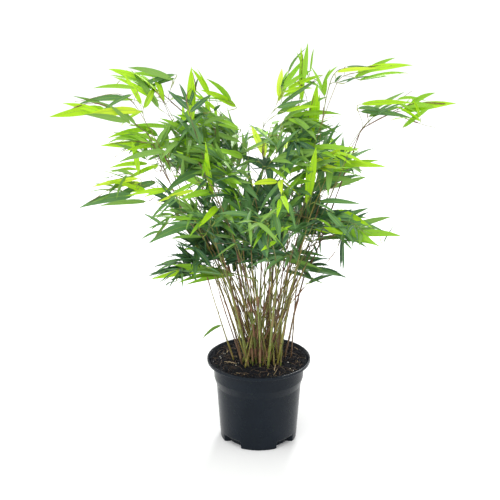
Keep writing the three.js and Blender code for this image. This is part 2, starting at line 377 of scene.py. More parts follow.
def turned(heap, line, turns, place):
    """Turns a profile whose two ends are on the axis; place gives each point's radius and height."""
    points = [Vector((0, 0, place(0.0, 0.0, line[0].y, 0)[1])) * MM]
    rows = len(line) - 2
    for j in range(1, rows + 1):
        for k in range(turns):
            angle = 2 * math.pi * k / turns
            radius, height = place(angle, line[j].x, line[j].y, j)
            points.append(Vector((radius * math.cos(angle), radius * math.sin(angle), height)) * MM)
    points.append(Vector((0, 0, place(0.0, 0.0, line[-1].y, rows + 1)[1])) * MM)
    faces = []
    for k in range(turns):
        nxt = (k + 1) % turns
        faces.append((0, 1 + nxt, 1 + k))
        for j in range(rows - 1):
            a, b = 1 + j * turns + k, 1 + j * turns + nxt
            faces.append((a, b, b + turns, a + turns))
        last = 1 + (rows - 1) * turns
        faces.append((last + k, last + nxt, len(points) - 1))
    heap.add(points, faces)


def build_pot():
    line = rounded(POT_PROFILE, 2.4)
    top = max(range(len(line)), key=lambda j: line[j].y)

    def place(angle, radius, height, j):
        return dented_radius(radius, angle, height, 0 if j <= top else 2), height

    heap = Heap()
    turned(heap, line, POT_TURNS, place)
    pot = piece("pot_shell", heap, pot_material(), ["pot"])
    cutter = Heap()
    for i in range(DRAINS):
        angle = 2 * math.pi * i / DRAINS
        centre = Vector((math.cos(angle), math.sin(angle), 0)) * DRAIN_CIRCLE * MM
        ends = [centre - UP * 4 * MM, centre + UP * 6 * MM]
        tube(cutter, ends, [DRAIN_RADIUS * MM] * 2, 32)
    mesh = bpy.data.meshes.new("drain_cut")
    mesh.from_pydata([tuple(p) for p in cutter.points], [], cutter.faces)
    holes = bpy.data.objects.new("drain_cut", mesh)
    bpy.context.scene.collection.objects.link(holes)
    cut = pot.modifiers.new("drain", "BOOLEAN")
    cut.operation = "DIFFERENCE"
    cut.solver = "EXACT"
    cut.object = holes
    bpy.context.view_layer.update()
    made = bpy.data.meshes.new_from_object(pot.evaluated_get(bpy.context.evaluated_depsgraph_get()))
    pot.modifiers.clear()
    pot.data = made
    made.polygons.foreach_set("use_smooth", [True] * len(made.polygons))
    made.set_sharp_from_angle(angle=math.radians(40))
    bpy.data.objects.remove(holes)


# ---- Soil ----


def soil_surface(x, y):
    """The height of the soil's uneven surface, in millimetres."""
    share = min(math.hypot(x, y) / SOIL_EDGE_RADIUS, 1)
    lumps = noise.fractal(Vector((x, y, 3)) * 0.055, 0.8, 2.1, 3) * 0.9
    grit = noise.fractal(Vector((x, y, 9)) * 0.32, 0.6, 2.2, 4) * 0.7
    return SOIL_EDGE_HEIGHT + SOIL_MOUND * (1 - share * share) + (lumps + grit) * SOIL_RELIEF


def build_soil():
    rings = [Vector((SOIL_EDGE_RADIUS * (1 - i / 70), 1000)) for i in range(70)]
    wall = [
        Vector((0, 2.3)), Vector((DENT_FREE_RADIUS, 2.3)), Vector((60, 2.3)), Vector((66.5, 2.4)),
        Vector((68.2, 4)), Vector((68.6, 8)), Vector((68.9, 12)), Vector((69.2, 16)),
        Vector((69.5, 20)), Vector((75.6, 107)), Vector((80.0, 122)), Vector((80.9, 147)),
        Vector((82.2, 150.3)), Vector((88.2, 152.6)),
    ]
    line = wall + rings + [Vector((0, 1000))]

    def place(angle, radius, height, j):
        if height < 1000:
            return dented_radius(radius, angle, height, 3.2), height
        return radius, soil_surface(radius * math.cos(angle), radius * math.sin(angle))

    heap = Heap()
    turned(heap, line, 240, place)
    earth = soil_material("soil_earth", [
        (0.30, (12, 12, 13)), (0.5, (26, 27, 32)), (0.66, (43, 44, 49)), (0.8, (70, 68, 70)),
    ])
    piece("soil_bed", heap, earth, ["soil"])
    return earth


ICO = [
    Vector(p).normalized()
    for a in (-1, 1)
    for b in (-1.618, 1.618)
    for p in ((0, a, b), (a, b, 0), (b, 0, a))
]


def ico_faces():
    """The twenty faces of the ball of twelve points."""
    edge = min((p - ICO[0]).length for p in ICO[1:]) * 1.05
    faces = []
    for i in range(12):
        for j in range(i + 1, 12):
            for k in range(j + 1, 12):
                a, b, c = ICO[i], ICO[j], ICO[k]
                if max((a - b).length, (b - c).length, (a - c).length) < edge:
                    out = (b - a).cross(c - a).dot(a) > 0
                    faces.append((i, j, k) if out else (i, k, j))
    return faces


ICO_FACES = ico_faces()


def crumb(heap, centre, size, rng, flat=0.7):
    """One uneven grain."""
    stretch = Vector((rng.uniform(0.7, 1.3), rng.uniform(0.7, 1.3), flat * rng.uniform(0.8, 1.2)))
    turn = Quaternion((rng.random(), rng.random(), rng.random(), rng.random() + 0.1)).normalized()
    points = []
    for p in ICO:
        q = Vector((p.x * stretch.x, p.y * stretch.y, p.z * stretch.z)) * rng.uniform(0.8, 1.15)
        points.append(centre + turn @ q * size)
    heap.add(points, ICO_FACES)


def on_soil(rng, reach=86):
    radius = reach * math.sqrt(rng.random())
    angle = rng.uniform(0, 2 * math.pi)
    return radius * math.cos(angle), radius * math.sin(angle)


def soil_point(x, y, lift):
    return Vector((x, y, soil_surface(x, y) + lift)) * MM


def strand(heap, x, y, heading, length, radius, rng, squash=1.0, wander=0.5, lift=0.6):
    """A fibre or straw that lies on the soil."""
    steps = max(4, round(length / 2.5))
    points = []
    for i in range(steps + 1):
        if math.hypot(x, y) > 86:
            break
        points.append(soil_point(x, y, lift + 0.8 * math.sin(math.pi * i / steps)))
        heading += rng.uniform(-wander, wander)
        x += math.cos(heading) * length / steps
        y += math.sin(heading) * length / steps
    if len(points) > 3:
        last = len(points) - 1
        taper = [math.sin(math.pi * (0.15 + 0.7 * i / last)) for i in range(last + 1)]
        radii = [radius * MM * (0.55 + 0.45 * share) for share in taper]
        tube(heap, points, radii, 6, squash)


def build_litter(earth):
    rng = random.Random(SEED + 1)
    crumbs, bark, pale, fibres, straw = Heap(), Heap(), Heap(), Heap(), Heap()
    for _ in range(CRUMBS):
        x, y = on_soil(rng)
        size = rng.uniform(0.5, 1.5) if rng.random() < 0.8 else rng.uniform(1.5, 2.8)
        crumb(crumbs, soil_point(x, y, size * 0.2), size * MM, rng)
    for _ in range(BARK_BITS):
        x, y = on_soil(rng)
        size = rng.uniform(0.8, 2.6)
        crumb(bark, soil_point(x, y, size * 0.3), size * MM, rng, 0.45)
    for _ in range(PALE_GRAINS):
        x, y = on_soil(rng)
        size = rng.uniform(0.5, 1.2)
        crumb(pale, soil_point(x, y, size * 0.5), size * MM, rng, 0.8)
    for _ in range(FIBRES):
        x, y = on_soil(rng)
        heading, length, thick = rng.uniform(0, 6.3), rng.uniform(9, 34), rng.uniform(0.16, 0.38)
        strand(fibres, x, y, heading, length, thick, rng, wander=0.55)
    for _ in range(SHORT_STRAWS):
        x, y = on_soil(rng)
        heading, length, thick = rng.uniform(0, 6.3), rng.uniform(7, 17), rng.uniform(0.4, 0.7)
        strand(straw, x, y, heading, length, thick, rng, 0.4, 0.08)
    for _ in range(LONG_STRAWS):
        x, y = on_soil(rng)
        length, thick = rng.uniform(14, 38), rng.uniform(0.5, 0.9)
        strand(straw, x, y, rng.uniform(0, 2 * math.pi), length, thick, rng, 0.5, 0.06, 1.4)
    for _ in range(LARGE_GRAINS):
        x, y = on_soil(rng)
        crumb(pale, soil_point(x, y, 0.9), 1.5 * MM, rng, 0.8)
    bark_stops = [(0.3, (30, 24, 22)), (0.55, (54, 44, 38)), (0.8, (84, 70, 58))]
    piece("soil_crumbs", crumbs, earth)
    piece("soil_bark_bits", bark, soil_material("soil_bark", bark_stops))
    pale_stops = [(0.2, (176, 170, 158)), (0.8, (226, 222, 212))]
    piece("soil_pale_grains", pale, soil_material("soil_pale", pale_stops))
    fibre_stops = [(0.3, (84, 68, 54)), (0.6, (124, 104, 84)), (0.8, (156, 138, 116))]
    piece("soil_fibres", fibres, streaked_material("soil_fibre", fibre_stops, 0.85, 90.0))
    straw_stops = [(0.3, (150, 126, 92)), (0.6, (196, 174, 136)), (0.8, (214, 198, 164))]
    piece("soil_straws", straw, streaked_material("soil_straw", straw_stops, 0.8, 90.0))


# ---- The frame's limbs and foliage ----


def node_arrays(name):
    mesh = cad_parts[name].data
    points = np.array([v.co for v in mesh.vertices], float).reshape(-1, 3)
    edges = np.array([e.vertices[:] for e in mesh.edges], int).reshape(-1, 2)
    return points, edges


def centre_line(name, cuts=9):
    """The middle of a limb's solid at even heights."""
    points, edges = node_arrays(name)
    low, high = points[:, 2].min(), points[:, 2].max()
    line = []
    for height in np.linspace(low, high, cuts + 2)[1:-1]:
        a, b = points[edges[:, 0]], points[edges[:, 1]]
        crossing = (a[:, 2] - height) * (b[:, 2] - height) < 0
        a, b = a[crossing], b[crossing]
        share = ((height - a[:, 2]) / (b[:, 2] - a[:, 2]))[:, None]
        cut = a + (b - a) * share
        line.append(Vector(((cut.min(0) + cut.max(0)) / 2)))
    return line, float(low), float(high)


CANES = sorted(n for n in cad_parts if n.startswith("cane_"))
BOUGHS = sorted(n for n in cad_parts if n.startswith("bough_"))
MASSES = sorted(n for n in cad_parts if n.startswith("foliage_"))
RISING = ("_heart", "_upper", "_top", "_low", "_crest")


def crown_tree():
    """One search tree over the surfaces of all the foliage solids."""
    points, faces = [], []
    for name in MASSES:
        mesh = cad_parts[name].data
        start = len(points)
        points += [v.co.copy() for v in mesh.vertices]
        faces += [tuple(i + start for i in p.vertices) for p in mesh.polygons]
    return BVHTree.FromPolygons(points, faces)


CROWN = crown_tree()


def depth_in_crown(point):
    """How deep a point is inside the foliage solids; negative outside."""
    spot, normal, _, distance = CROWN.find_nearest(point)
    return distance if (point - spot).dot(normal) < 0 else -distance


def mass_spine(name):
    """Root, middle and tip of a foliage solid, and its box's volume."""
    points, _ = node_arrays(name)
    centre = points.mean(0)
    if name.endswith(RISING) and not name.endswith("low_reach"):
        axis = np.array([0.0, 0.0, 1.0])
    else:
        axis = np.array([centre[0] - CLUMP.x, centre[1] - CLUMP.y, 0.0])
        axis /= np.linalg.norm(axis)
    s = points @ axis
    root = points[s < np.quantile(s, 0.14)].mean(0)
    middle = points[(s > np.quantile(s, 0.35)) & (s < np.quantile(s, 0.65))].mean(0)
    tip = points[s > np.quantile(s, 0.96)].mean(0)
    size = np.ptp(points, axis=0)
    return {
        "root": Vector(root), "middle": Vector(middle), "tip": Vector(tip),
        "centre": Vector(centre), "volume": float(size.prod()), "points": points,
    }


SPINES = {name: mass_spine(name) for name in MASSES}


def bearing_of(point):
    return math.atan2(point.y - CLUMP.y, point.x - CLUMP.x)


def reach_of(point):
    return math.hypot(point.x - CLUMP.x, point.y - CLUMP.y)


# ---- Canes ----

# Masses that a cane of their own runs into, the furthest out first.
LEADERS = [
    "left_tip", "right_tip", "left_reach", "left_shoulder", "left_arch", "right_arch",
    "right_low_reach", "right_shoulder", "front_left_reach", "front_right_reach",
    "back_left_reach", "back_right_reach", "front_reach", "back_reach", "left_crest",
    "right_crest", "left_upper", "right_upper", "front_left_upper", "front_right_upper",
    "back_left_upper", "back_right_upper", "centre_top", "left_heart",
]
# Bare boughs that a leader passes through on its way.
BY_BOUGH = {
    "left_tip": ["bough_left_long"],
    "right_tip": ["bough_right_lower", "bough_right_upper"],
}
# Canes that stand apart: foot x, foot y, head x, head y, head height and kind.
LONE_CANES = [
    (-45, -10, -105, -10, 370, "olive"), (60, 5, 80, 30, 440, "brown"),
    (40, -35, 60, -15, 400, "green"), (-30, -30, -90, -20, 360, "brown"),
]
LOW_LEAF_SHARE = 0.33
LOW_LEAF_LENGTH = 0.045
# Thin canes crowd out of the knots in the clump and cross one another.
THIN_CANES = 46
# Tall thin stems run up beside the leaders into these masses.
TALL_STEMS = [
    "left_tip", "left_arch", "left_arch", "left_shoulder", "left_shoulder", "left_reach",
    "left_upper", "left_upper", "left_crest", "right_tip", "right_tip", "right_arch",
    "right_shoulder", "right_shoulder", "right_upper", "right_crest", "right_crest",
    "right_low_reach", "centre_top", "front_left_upper", "front_right_upper",
    "back_left_upper", "back_right_upper", "front_heart", "front_heart",
]
TALL_SCATTER = 16
KNOTS = [(-12, -26), (24, -14), (2, 0)]
KNOT_SPREAD = 11
FAN_REACH = 112
FAN_HEIGHT = 340

# The swelling of a cane round each of its nodes: places along it and shares of its radius.
NODE_SWELL = (
    (-0.0032, 0.0), (-0.0012, 0.14), (-0.0005, 0.34), (0.0001, 0.12), (0.0007, 0.30), (0.0022, 0.05),
)
KINDS = ("olive", "green", "brown")
KIND_SHARES = (0.45, 0.33, 0.22)
cane_heaps = {kind: Heap() for kind in KINDS}
sheath_heap, ring_heap = Heap(), Heap()
twig_heap = Heap()
leaf_heaps = {tone: Heap() for tone in LEAF_TONES}
rib_heap = Heap()
dry_heap = Heap()

# Where twigs may start: points, their directions and the radius there.
net_points, net_directions, net_radii = [], [], []


def note(point, direction, radius):
    net_points.append(point)
    net_directions.append(direction)
    net_radii.append(radius)


def cane_nodes(total, rng):
    """The distances along a cane at which its rings stand."""
    places, s = [], rng.uniform(0.008, 0.02)
    while s < total - 0.01:
        places.append(s)
        share = s / total
        s += (0.022 + 0.034 * math.sin(math.pi * min(1, share + 0.12))) * rng.uniform(0.85, 1.15)
    return places


def grow_cane(points, foot_radius, head_radius, kind, rng):
    """A jointed cane: rings at its nodes, slight turns there, and papery sheaths."""
    run = lengths(points)
    total = run[-1]
    nodes = cane_nodes(total, rng)
    stations = {0.0: 0.0, total: 0.0}
    for s in np.arange(0.006, total, 0.009):
        if min((abs(s - n) for n in nodes), default=1) > 0.0042:
            stations[float(s)] = 0.0
    for n in nodes:
        for offset, swell in NODE_SWELL:
            if 0 < n + offset < total:
                stations[n + offset] = swell
    order = sorted(stations)
    line, radii = [], []
    bends = [Vector((rng.gauss(0, 1), rng.gauss(0, 1), 0)) * 0.0005 for _ in range(len(nodes) + 2)]
    for s in order:
        spot, _ = at_length(points, run, s)
        i = int(np.searchsorted(nodes, s))
        before = nodes[i - 1] if i > 0 else 0.0
        after = nodes[i] if i < len(nodes) else total
        share = (s - before) / max(after - before, 1e-6)
        bend = bends[i].lerp(bends[i + 1], min(max(share, 0), 1))
        line.append(spot + bend * min(1, s / 0.02))
        radius = foot_radius + (head_radius - foot_radius) * (s / total) ** 0.8
        radii.append(radius * (1 + stations[s]))
    tube(cane_heaps[kind], line, radii, 9)
    run2 = lengths(line)
    for n in nodes:
        spot, direction = at_length(line, run2, n * run2[-1] / total)
        radius = foot_radius + (head_radius - foot_radius) * (n / total) ** 0.8
        ring = [spot - direction * 0.0006, spot - direction * 0.0001, spot + direction * 0.0004]
        tube(ring_heap, ring, [radius * 1.28, radius * 1.42, radius * 1.28], 9)
        if spot.z > 0.29:
            note(spot, direction, radius)
        if rng.random() < (0.34 if spot.z < 0.42 else 0.2):
            grow_sheath(line, run2, n * run2[-1] / total, radius, rng)
    return line


def grow_sheath(line, run, start, radius, rng):
    """A papery husk round the cane above a node, open down one side, with a pointed end."""
    length = rng.uniform(0.016, 0.036)
    if start + length > run[-1]:
        return
    turn = rng.uniform(0, 6.28)
    rows, columns = 6, 8
    loose = rng.uniform(0.1, 0.5) * MM
    points = []
    for i in range(rows + 1):
        share = i / rows
        spot, direction = at_length(line, run, start + length * share)
        side = across_of(direction, Vector((math.cos(turn), math.sin(turn), 0)))
        other = direction.cross(side)
        half = math.pi * (0.9 - 0.65 * share ** 1.6)
        out = radius + 0.25 * MM + loose * share * share * 2
        for k in range(columns + 1):
            angle = half * (2 * k / columns - 1)
            points.append(spot + side * (out * math.cos(angle)) + other * (out * math.sin(angle)))
    tip, direction = at_length(line, run, start + length * 1.12)
    side = across_of(direction, Vector((math.cos(turn), math.sin(turn), 0)))
    points.append(tip + side * (radius + 0.4 * MM + loose * 3))
    faces = []
    for i in range(rows):
        for k in range(columns):
            a = i * (columns + 1) + k
            faces.append((a, a + 1, a + columns + 2, a + columns + 1))
    top = rows * (columns + 1)
    faces += [(top + k, top + k + 1, len(points) - 1) for k in range(columns)]
    sheath_heap.add(points, faces)


def continued(line, height):
    """A cane's centre line carried on by its own arch to a height."""
    z = np.array([p.z for p in line])
    fit_x = np.polyfit(z, [p.x for p in line], 2)
    fit_y = np.polyfit(z, [p.y for p in line], 2)
    more = []
    for level in np.arange(line[-1].z + 0.03, height, 0.04):
        more.append(Vector((np.polyval(fit_x, level), np.polyval(fit_y, level), level)))
    return line + more


def scattered(point, rng):
    return point + Vector([rng.gauss(0, TALL_SCATTER * MM) for _ in range(3)])


def grow_tall_stem(spine, knot, rng):
    """A thin stem from a knot in the clump, fanning out and then into a mass."""
    foot = soil_point(*[rng.gauss(c, KNOT_SPREAD) for c in knot], -2)
    root, middle = scattered(spine["root"], rng), scattered(spine["middle"], rng)
    bare = foot.lerp(root, 0.45)
    bare += Vector((foot.x - root.x, foot.y - root.y, 0)) * rng.uniform(0.04, 0.12)
    points = through([foot, bare, root, middle], 0.012)
    kind = rng.choices(KINDS, KIND_SHARES)[0]
    grow_cane(points, rng.uniform(1.0, 1.4) * MM, 0.4 * MM, kind, rng)


def low_leaf(line):
    """A single leaf that hangs outwards, low on a cane that stands apart."""
    base, _ = at_length(line, lengths(line), lengths(line)[-1] * LOW_LEAF_SHARE)
    outward = Vector((base.x - CLUMP.x, base.y - CLUMP.y, 0)).normalized()
    control = base + (outward * 0.55 - UP * 0.1) * LOW_LEAF_LENGTH
    tip = base + (outward * 0.85 - UP * 0.5) * LOW_LEAF_LENGTH
    leaf("mid", base, control, tip, LOW_LEAF_LENGTH * 0.22, 1.1)


def grow_canes():
    rng = random.Random(SEED + 2)
    lines = {}
    for name in CANES:
        line, low, _ = centre_line(name)
        foot = line[0] + (line[0] - line[1]).normalized() * (line[0].z - low + 0.006)
        lines[name] = [foot] + line
    free = set(CANES)
    for leader in LEADERS:
        spine = SPINES["foliage_" + leader]
        want = bearing_of(spine["middle"])
        far = min(1.0, reach_of(spine["middle"]) / 0.2)

        def misfit(name):
            top = lines[name][-1]
            off = abs((bearing_of(top) - want + math.pi) % (2 * math.pi) - math.pi)
            return off * (0.4 + far) + 1.6 * abs(min(1.0, reach_of(top) / 0.11) - far)

        name = min(sorted(free), key=misfit)
        free.discard(name)
        knots = lines[name]
        for bough in BY_BOUGH.get(leader, []):
            middle = centre_line(bough, 5)[0]
            join = knots[-1].lerp(middle[0], 0.5) + Vector((0, 0, -0.012))
            knots = knots + [join] + middle
        if leader not in BY_BOUGH:
            root = spine["root"]
            top = knots[-1]
            rise = root.z - top.z
            if rise > 0.05:
                heading = (knots[-1] - knots[-3]).normalized()
                half_way = top + heading * (rise * 0.45)
                knots = knots + [half_way.lerp(top.lerp(root, 0.5), 0.45)]
        for spot in (spine["root"], spine["middle"], spine["tip"].lerp(spine["middle"], 0.25)):
            if (spot - knots[-1]).length > 0.03:
                knots = knots + [spot]
        points = through(knots, 0.012)
        kind = rng.choices(KINDS, KIND_SHARES)[0]
        if leader in BY_BOUGH:
            kind = "brown"
        grow_cane(points, rng.uniform(1.5, 1.9) * MM, 0.5 * MM, kind, rng)
    for name in sorted(free):
        points = through(continued(lines[name], rng.uniform(0.5, 0.6)), 0.012)
        grow_cane(points, 1.7 * MM, 0.5 * MM, rng.choices(KINDS, KIND_SHARES)[0], rng)
    stand = list(LONE_CANES)
    for i in range(THIN_CANES):
        knot = KNOTS[i % len(KNOTS)]
        foot = [rng.gauss(c, KNOT_SPREAD) for c in knot]
        bearing = rng.uniform(0, 2 * math.pi)
        height = rng.uniform(320, 520)
        reach = FAN_REACH * math.sqrt(rng.random()) * (height / FAN_HEIGHT) ** 1.2
        head = [CLUMP.x / MM + reach * math.cos(bearing), CLUMP.y / MM + reach * math.sin(bearing)]
        stand.append((*foot, *head, height, rng.choices(KINDS, KIND_SHARES)[0]))
    for i, (x, y, head_x, head_y, height, kind) in enumerate(stand):
        thick = rng.uniform(1.4, 1.7) if i < len(LONE_CANES) else rng.uniform(0.9, 1.5)
        foot = soil_point(x, y, -2)
        head = Vector((head_x, head_y, height)) * MM
        bend = rng.uniform(0.02, 0.14) * (i >= len(LONE_CANES))
        bow = Vector((head.x - foot.x, head.y - foot.y, 0)) * bend
        stray = Vector((rng.gauss(0, 3), rng.gauss(0, 3), 0)) * MM
        points = through([foot, foot.lerp(head, 0.5) - bow + stray, head], 0.012)
        line = grow_cane(points, thick * MM, 0.45 * MM, kind, rng)
        if i == 0:
            low_leaf(line)
    for i, leader in enumerate(TALL_STEMS):
        grow_tall_stem(SPINES["foliage_" + leader], KNOTS[i % len(KNOTS)], rng)


# ---- Leaves ----

# A leaf's half-width along its length, as shares of its widest and of its length.
LEAF_OUTLINE = [
    (0.0, 0.06), (0.035, 0.10), (0.08, 0.55), (0.18, 0.86), (0.32, 1.0), (0.48, 0.96),
    (0.63, 0.80), (0.77, 0.55), (0.89, 0.26), (1.0, 0.0),
]


def leaf(tone, base, control, tip, width, roll, face=UP, fold=0.22):
    """A blade folded along an arc, its upper side towards face, and its pale rib."""
    ring, ribs = [], []
    start_side = None
    for i, (t, share) in enumerate(LEAF_OUTLINE):
        spot = base * (1 - t) ** 2 + control * (2 * t * (1 - t)) + tip * t * t
        tangent = ((control - base) * (1 - t) + (tip - control) * t).normalized()
        if start_side is None:
            level = tangent.cross(face)
            if level.length < 0.2:
                level = Vector((math.cos(roll * 9), math.sin(roll * 9), 0))
            start_side = level.normalized()
            start_side.rotate(Quaternion(tangent, roll))
        side = across_of(tangent, start_side)
        start_side = side
        normal = side.cross(tangent)
        half = width / 2 * share
        ripple = math.sin(t * 9 + roll * 5) * width * 0.035
        edge_up = normal * (half * fold + ripple)
        if i == len(LEAF_OUTLINE) - 1:
            ring.append(spot)
        else:
            ring += [spot - side * half + edge_up, spot, spot + side * half + edge_up]
        rib = min(0.34 * MM, half * 0.2) * (1 - 0.6 * t)
        ribs.append((spot + normal * 0.12 * MM, side * rib))
    faces = []
    last = len(LEAF_OUTLINE) - 1
    for i in range(last - 1):
        a = i * 3
        faces += [(a, a + 1, a + 4, a + 3), (a + 1, a + 2, a + 5, a + 4)]
    a = (last - 1) * 3
    faces += [(a, a + 1, a + 3), (a + 1, a + 2, a + 3)]
    leaf_heaps[tone].add(ring, faces) if tone in leaf_heaps else dry_heap.add(ring, faces)
    if tone in leaf_heaps:
        points = []
        for spot, side in ribs[1:-1]:
            points += [spot - side, spot + side]
        strip = [(2 * i, 2 * i + 1, 2 * i + 3, 2 * i + 2) for i in range(len(ribs) - 3)]
        rib_heap.add(points, strip)


# A leaf's length in millimetres and its width as a share of that, for the leaves inside.
LEAF_LENGTH = (56, 96)
LEAF_WIDTH = (0.11, 0.165)


def tone_for(point, rng):
    """Leaf tone by place, as painted light and shade: darker and bluer deep inside and low down, where
    the crown shades the leaves, and brighter outside, on top and towards the front, where light falls;
    a random spread on top of that.
    """
    out = min(1.0, reach_of(point) / 0.27)
    high = min(1.0, max(0.0, (point.z - 0.32) / 0.36))
    front = max(-0.5, min(1.0, (CLUMP.y - point.y) / 0.2))
    light = 0.42 * out + 0.5 * high + 0.06 * front + rng.gauss(0, 0.17)
    steps = ((0.30, "shade"), (0.50, "deep"), (0.70, "mid"), (0.86, "fresh"), (1.02, "bright"))
    for limit, tone in steps:
        if light < limit:
            return tone
    return "lime"


def droop_leaf(base, direction, length, droop, width, tone, roll):
    """A leaf that sets off in a direction and bends towards the ground; True if it fits."""
    flat = Vector((direction.x, direction.y, 0))
    if flat.length <= 0.05:
        flat = Vector((math.cos(roll * 7), math.sin(roll * 7), 0))
    flat.normalize()
    rise = math.asin(max(-1, min(1, direction.z)))
    end_rise = max(-1.45, rise - droop)
    end = flat * math.cos(end_rise) + UP * math.sin(end_rise)
    control = base + direction * (length * 0.5)
    tip = control + end * (length * 0.5)
    if depth_in_crown(tip) < -9 * MM:
        return False
    leaf(tone, base, control, tip, width, roll)
    return True


def grow_spray(points, count, rng):
    """Leaves set left and right along the end of a twig, the first straight on at its tip."""
    run = lengths(points)
    end, heading = points[-1], (points[-1] - points[-2]).normalized()
    level = heading.cross(UP)
    side = across_of(heading, level if level.length > 0.1 else Vector((1, 0, 0)))
    # Each spray takes one tone by its place: painted light and shade.
    own = tone_for(end, rng)
    for i in range(count):
        back = i * rng.uniform(0.005, 0.011)
        base, along = at_length(points, run, max(run[-1] - back, run[-1] * 0.3))
        for attempt in range(6):
            angle = (0.0 if i == 0 else rng.uniform(0.25, 0.8)) * (1 if i % 2 else -1)
            angle += rng.gauss(0, 0.14 + 0.15 * attempt)
            lift = rng.gauss(0.1, 0.22 + 0.1 * attempt)
            direction = (along * math.cos(angle) + side * math.sin(angle) + UP * lift).normalized()
            length = rng.uniform(*LEAF_LENGTH) * MM * (1 - 0.09 * attempt)
            width = length * rng.uniform(*LEAF_WIDTH)
            droop = rng.uniform(0.05, 0.75)
            roll = rng.gauss(0, 0.65)
            if droop_leaf(base, direction, length, droop, width, own, roll):
                break


def grow_twig(target, heading, radius=0.85 * MM, bare_from=0.02):
    """A twig from the nearest limb that can carry it to a target. Others can start on it."""
    spots = np.array([tuple(p) for p in net_points])
    gap = np.array(tuple(target)) - spots
    distance = np.linalg.norm(gap, axis=1)
    climb = gap[:, 2] / np.maximum(distance, 1e-6)
    outward = np.array([target.x - CLUMP.x, target.y - CLUMP.y, 0.0])
    outward /= max(np.linalg.norm(outward), 1e-6)
    ahead = (gap @ outward) / np.maximum(distance, 1e-6)
    cost = distance * (1 + 0.9 * np.maximum(0, 0.15 - climb) + 0.8 * np.maximum(0, -ahead))
    cost[distance < bare_from] += 1
    i = int(np.argmin(cost))
    start, parent = net_points[i], net_directions[i]
    span = (target - start).length
    pull = (parent * 0.9 + (target - start).normalized() * 0.7 + UP * 0.25).normalized()
    steps = max(4, round(span / 0.009))
    points = hermite(start, pull * span * 0.9, target, heading * span * 0.8, steps)
    thick = min(net_radii[i] * 0.8, radius)
    radii = [thick + (0.32 * MM - thick) * j / (len(points) - 1) for j in range(len(points))]
    tube(twig_heap, points, radii, 6)
    ways = tangents(points)
    for j in range(2, len(points)):
        note(points[j], ways[j], radii[j])
    return points


def leaf_sheath(points, rng):
    """The swollen pale end of a twig that its leaves come out of."""
    run = lengths(points)
    span = min(0.022, run[-1] * 0.5)
    line = [at_length(points, run, run[-1] - span * (1 - i / 4))[0] for i in range(5)]
    heap = dry_heap if rng.random() < 0.12 else tip_heap
    tube(heap, line, [r * MM for r in (0.45, 0.75, 0.8, 0.7, 0.4)], 6)


tip_heap = Heap()

# How many sprays grow per litre of a mass's box, and the share of that in masses that differ.
SPRAYS_PER_LITRE = 9.2
AIRY = {
    "left_tip": 0.5, "right_tip": 0.4, "left_arch": 1.1, "right_arch": 0.6, "left_crest": 0.8,
    "right_crest": 0.5, "left_reach": 0.6, "right_low_reach": 0.25, "left_shoulder": 1.0,
    "right_shoulder": 0.42, "left_skirt": 1.8, "right_skirt": 0.4, "right_upper": 0.4,
    "left_upper": 0.9, "centre_top": 0.3, "right_heart": 0.75, "centre_low": 0.95,
    "left_heart": 1.15, "front_heart": 1.1, "front_right_upper": 0.45, "back_right_upper": 0.35,
    "back_left_upper": 0.7,
}


# Long leaves make the crown's outline: they hang in groups on twigs near the outer end of each
# outer mass, run the way the mass does, and end on its own surface.
OUTER = ("_tip", "_arch", "_crest", "_reach", "_shoulder", "_skirt", "_upper")
RIM_PART = 0.6
RIM_SPACING = 0.034
RIM_LEAF = (0.062, 0.1)
RIM_WIDTH = (0.09, 0.14)
TIP_WIDTH = (0.14, 0.18)
RIM_SPREAD = 0.6
# The outer leaves turn part of the way to the side that the plant grew towards the light on.
LIGHTWARD = Vector((0, -1, 0))
# Outer leaves high up take the brighter tones as painted light on top, and those low down take the
# darker tones as painted shade.
RIM_TONES = ("lime", "bright", "bright", "fresh", "fresh", "mid", "deep")
RIM_TONES_LOW = ("bright", "fresh", "mid", "deep", "deep")
RIM_LOW = 0.48
# A mass whose axis climbs more than this lets its leaves fall outwards.
RIM_UPRIGHT = 0.5


def rim_ends(spine, axis, rng):
    """Points far out on a mass, apart from one another, where leaf tips may end."""
    surface = sorted((Vector(p) for p in spine["points"]), key=lambda p: -p.dot(axis))
    outer = surface[:round(len(surface) * RIM_PART)]
    rng.shuffle(outer)
    found = [spine["tip"]]
    for p in outer:
        outside = reach_of(p) > reach_of(spine["middle"])
        if outside and all((p - q).length > RIM_SPACING for q in found):
            found.append(p)
    return found


def rim_leaf(base, tip, tone, rng, width=RIM_WIDTH):
    """A leaf to a tip on the crown's surface, arched upwards and turned outwards."""
    span = tip - base
    control = base.lerp(tip, 0.5) + UP * (span.length * rng.uniform(0.03, 0.14))
    outward = Vector((tip.x - CLUMP.x, tip.y - CLUMP.y, 0)).normalized()
    face = (UP * 0.5 + outward * 0.3 + LIGHTWARD * 0.55).normalized()
    leaf(tone, base, control, tip, span.length * rng.uniform(*width), rng.gauss(0, 0.4), face)


